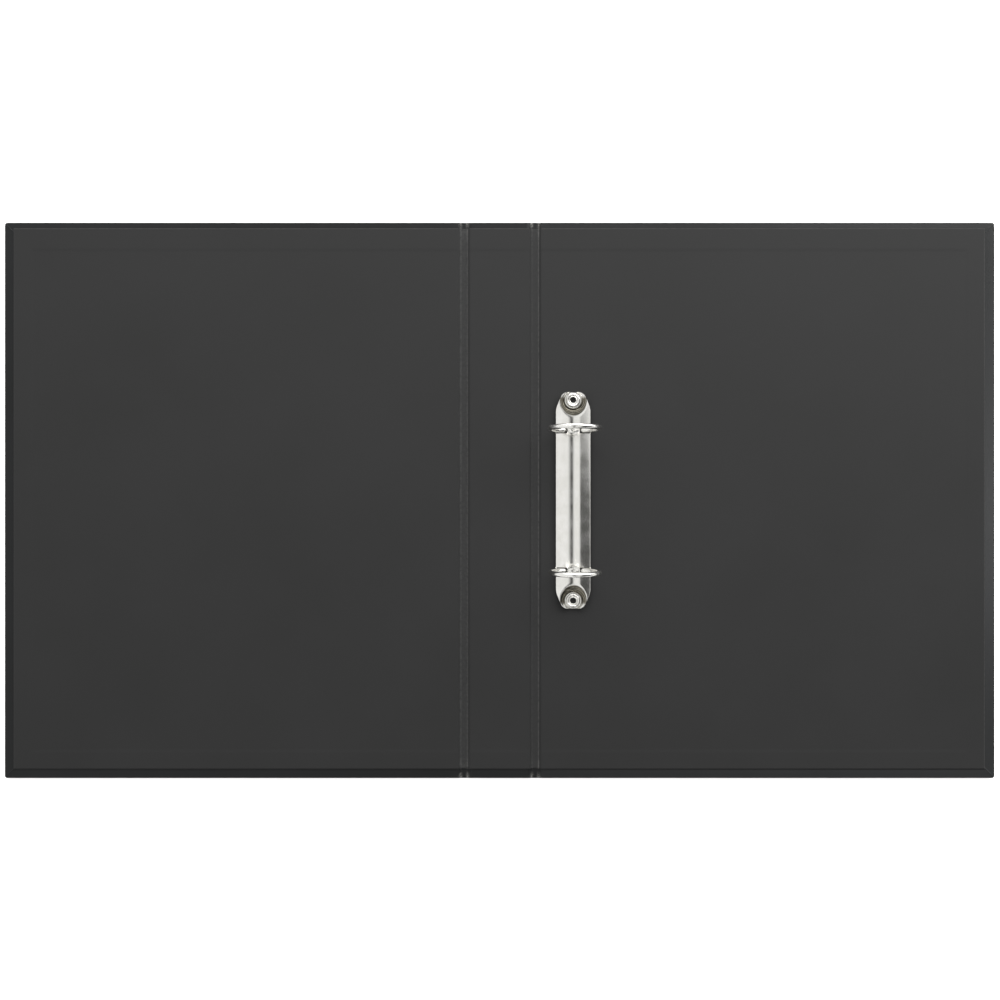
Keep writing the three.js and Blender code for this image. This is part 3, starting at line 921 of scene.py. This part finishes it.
def folded_edge(co):
    """Whether a point of the covering lies on the fold or the wall at the case's edge, where the
    covering carries painted shade.
    """
    from_end = min(co.y - tail, head - co.y)
    from_fore = min(co.x - front_low.x, back_high.x - co.x)
    return 1 - smooth_step(0.35 * MM, 0.9 * MM, min(from_end, from_fore))


def groove_wear_and_highlight(left, right, left_crease, right_crease, between):
    """Paler lining in a groove, partly real rubbing and partly painted highlight: along each crease,
    where the crease catches light, and evenly over the rest. It is stronger at the head and tail."""

    def amount(co):
        from_left, from_right = co.x - left, right - co.x
        wear_and_highlight = between * smooth_step(0.3 * MM, 1.2 * MM, min(from_left, from_right))
        wear_and_highlight += left_crease * math.exp(-(((from_left - 1.6 * MM) / (0.35 * MM)) ** 2))
        wear_and_highlight += right_crease * math.exp(-(((from_right - 1.6 * MM) / (0.35 * MM)) ** 2))
        end = 1 - smooth_step(2 * MM, 14 * MM, min(co.y - tail, head - co.y))
        return min(1.0, wear_and_highlight * (1 + 1.5 * end))

    return amount


def lining_edge_highlight(co):
    """The lining's cut edge is painted pale as a painted highlight, most at the head and along the
    back cover's fore edge, where light falls on it.
    """
    width = 0.45 * MM
    at_head = 1 - smooth_step(0.2 * MM, 0.2 * MM + width, lining_high.y - co.y)
    at_back = 1 - smooth_step(0.2 * MM, 0.2 * MM + width, lining_high.x - co.x)
    at_front = 1 - smooth_step(0.2 * MM, 0.2 * MM + width, co.x - front_lining_low.x)
    return max(0.22 * at_head, 0.3 * at_back, 0.08 * at_front)


# ---------------------------------------------------------------- pieces of the case

front_covering = covering_panel("front_cover_skin", front_low, front_high, -1)
rivet_places = [(mechanism_x, y) for y in rivet_ys]
back_covering = covering_panel("back_cover_skin", back_low, back_high, 1, rivet_places)
spine_xs = np.linspace(spine_low.x, spine_high.x, 24)
spine_covering = covering_band("spine_skin", spine_xs, lambda x: covering_top)
for piece, body, node in (
    (front_covering, "front_cover", "front_covering"),
    (spine_covering, "spine", "spine_covering"),
    (back_covering, "back_cover", "back_covering"),
):
    paint(piece, "wear_and_highlight", edge_wear)
    # the edge mask places painted shade on the fold and wall at the case's edge
    paint(piece, "edge", folded_edge)
    finish(piece, covering, body, [node])

front_lining = lining_panel(
    "front_lining_sheet", front_lining_low, front_lining_high, left=front_low.x
)
spine_lining = lining_panel("spine_lining_sheet", *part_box("spine_lining"))
back_lining = lining_panel(
    "back_lining_sheet", lining_low, lining_high, right=back_high.x
)
for piece, body, node in (
    (front_lining, "front_cover", "front_lining"),
    (spine_lining, "spine", "spine_lining"),
    (back_lining, "back_cover", "back_lining"),
):
    # painted highlight along the lining's cut edges
    paint(piece, "wear_and_highlight", lining_edge_highlight)
    finish(piece, lining, body, [node])

# Each hinge's name, its left and right edges, the bodies beside it, and how pale its left crease, its
# right crease and the floor between them are painted, partly for rubbing and partly as painted
# highlight.
hinges = (
    ("front_hinge", front_high.x, spine_low.x, ("front_cover", "spine"), (0.25, 0.3, 0.12)),
    ("back_hinge", spine_high.x, back_low.x, ("spine", "back_cover"), (0.12, 0.5, 0.05)),
)
for name, left, right, bodies, crease_wear_and_highlight in hinges:
    xs = np.linspace(left, right, 41)
    level = lambda x, a=left, b=right: groove_level(x, a, b) - SHEET
    skin = covering_band(name + "_skin", xs, level)
    paint(skin, "wear_and_highlight", edge_wear)
    paint(skin, "edge", folded_edge)
    finish(skin, covering, None, [name + "_covering"])
    sheet = lining_groove(name + "_sheet", left, right)
    # rubbing and painted highlight on the groove's creases and floor
    paint(sheet, "wear_and_highlight", groove_wear_and_highlight(left, right, *crease_wear_and_highlight))
    finish(sheet, lining, None, [name + "_lining"])
    for piece in (skin, sheet):
        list(bodies)
        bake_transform(piece)

for node in ("front_board", "spine_board", "back_board"):
    finish(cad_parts[node], greyboard)

# ---------------------------------------------------------------- pieces of the mechanism

housing = finish(housing_shell(), nickel, "back_cover", ["housing"])
for place, ring_y in zip(("head", "tail"), ring_ys):
    for side_name, side in (("left", -1), ("right", 1)):
        node = f"{place}_{side_name}_half_ring"
        wire = half_ring(f"{place}_{side_name}_wire", side, ring_y, JOINT_X)
        finish(wire, wire_nickel, f"{side_name}_rings", [node])
for place, y in zip(("head", "tail"), rivet_ys):
    tube = rivet(f"{place}_tubular_rivet", y)
    finish(tube, nickel, "back_cover", [f"{place}_rivet"])
for node in ("left_blade", "right_blade"):
    finish(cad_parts[node], zinc)

# ---------------------------------------------------------------- floor, light and camera


def add_floor():
    """A plain pale floor, just under the binder."""
    mesh = bpy.data.meshes.new("floor")
    half = 4.0
    z = cad_low.z - 0.2 * MM
    corners = [(-half, -half, z), (half, -half, z), (half, half, z), (-half, half, z)]
    mesh.from_pydata(corners, [], [(0, 1, 2, 3)])
    made = bpy.data.objects.new("floor", mesh)
    bpy.context.scene.collection.objects.link(made)
    mesh.materials.append(floor_material())


def add_softbox(name, place, target, width, height, watts):
    """A soft rectangular light at one point, aimed at another."""
    data = bpy.data.lights.new(name, "AREA")
    data.shape = "RECTANGLE"
    data.size = width
    data.size_y = height
    data.energy = watts
    made = bpy.data.objects.new(name, data)
    bpy.context.scene.collection.objects.link(made)
    made.location = place
    aim = Vector(target) - Vector(place)
    made.rotation_euler = aim.to_track_quat("-Z", "Y").to_euler()
    return made


def limit_light(light, piece, state):
    """Lets a light reach this piece alone ("INCLUDE"), or every piece but this one ("EXCLUDE")."""
    pieces = bpy.data.collections.new(light.name + "_pieces")
    pieces.objects.link(piece)
    pieces.collection_objects[0].light_linking.link_state = state
    light.light_linking.receiver_collection = pieces


def add_world():
    """A white studio. Surfaces see it dark to the right of the mechanism and along a gap overhead;
    seen directly it is a plain white backdrop."""
    world = bpy.data.worlds.new("studio")
    bpy.context.scene.world = world
    world.use_nodes = True
    tree = world.node_tree

    def node(kind, inputs=(), **settings):
        made = tree.nodes.new("ShaderNode" + kind)
        for setting, value in settings.items():
            setattr(made, setting, value)
        for place, value in enumerate(inputs):
            if isinstance(value, bpy.types.NodeSocket):
                tree.links.new(value, made.inputs[place])
            elif value is not None:
                made.inputs[place].default_value = value
        return made.outputs[0]

    def between(value, low, high, out_low=0.0, out_high=1.0):
        return node(
            "MapRange", (value, low, high, out_low, out_high), interpolation_type="SMOOTHSTEP"
        )

    def times(first, second):
        return node("Math", (first, second), operation="MULTIPLY")

    where = tree.nodes.new("ShaderNodeTexCoord").outputs["Generated"]
    axes = tree.nodes.new("ShaderNodeSeparateXYZ")
    tree.links.new(where, axes.inputs[0])
    x, y, z = axes.outputs
    # tilt is how far a direction leans to the right for each unit up, and y is towards the head. The
    # plate mirrors each band of tilts as a streak along itself, so the bands set the photo's streaks.
    tilt = node("Math", (x, node("Math", (z, 0.02), operation="MAXIMUM")), operation="DIVIDE")
    towards_head = node("Math", (tilt, 0.025, y), operation="MULTIPLY_ADD")
    dark_side = times(between(tilt, 0.53, 0.62), between(tilt, 3.6, 6.0, 1.0, 0.0))
    dark_side = times(dark_side, between(towards_head, 0.118, 0.138, 1.0, 0.0))
    shade = node("Math", (between(y, -0.12, -0.03, 0.07, 0.12), between(y, 0.02, 0.1, 0.0, 0.18)))
    gap = times(between(tilt, -0.36, -0.06), between(tilt, -0.04, 0.1, 1.0, 0.0))
    lit = node("Mix", (dark_side, None, 1.0, shade))
    lit = node("Mix", (gap, None, lit, 0.02))
    seen_directly = tree.nodes.new("ShaderNodeLightPath").outputs["Is Camera Ray"]
    lit = node("Mix", (seen_directly, None, lit, 1.0))
    background = tree.nodes["Background"]
    background.inputs["Color"].default_value = (1.0, 1.0, 1.0, 1.0)
    tree.links.new(lit, background.inputs["Strength"])


def add_camera():
    """A camera straight above, a little to the mechanism's side of the middle."""
    data = bpy.data.cameras.new("camera")
    distance = 0.46
    frame_width = 0.575
    offset = 0.015
    off_centre = 0.0004  # of the binder in the photo, as a share of its width
    data.sensor_width = 36
    data.lens = data.sensor_width * distance / frame_width
    data.shift_x = off_centre - offset / frame_width
    data.shift_y = off_centre
    made = bpy.data.objects.new("camera", data)
    bpy.context.scene.collection.objects.link(made)
    made.location = (offset, 0.0, inside + distance)
    bpy.context.scene.camera = made


add_floor()
# The housing's dishes would mirror this light as a white crescent, which the photo doesn't show.
head_softbox = add_softbox(
    "head_softbox",
    place=(0.35, 0.9, 0.52),
    target=(0.1, 0.05, 0.0),
    width=2.2,
    height=0.7,
    watts=30,
)
limit_light(head_softbox, housing, "EXCLUDE")
# The turned-in strip down the back cover's fore edge is paler than the rest in the photo.
edge_softbox = add_softbox(
    "edge_softbox",
    place=(0.5, 0.0, 0.42),
    target=(0.27, 0.0, 0.0),
    width=0.2,
    height=0.75,
    watts=3,
)
limit_light(edge_softbox, back_covering, "INCLUDE")
add_world()
add_camera()
bpy.context.scene.view_settings.view_transform = "Standard"
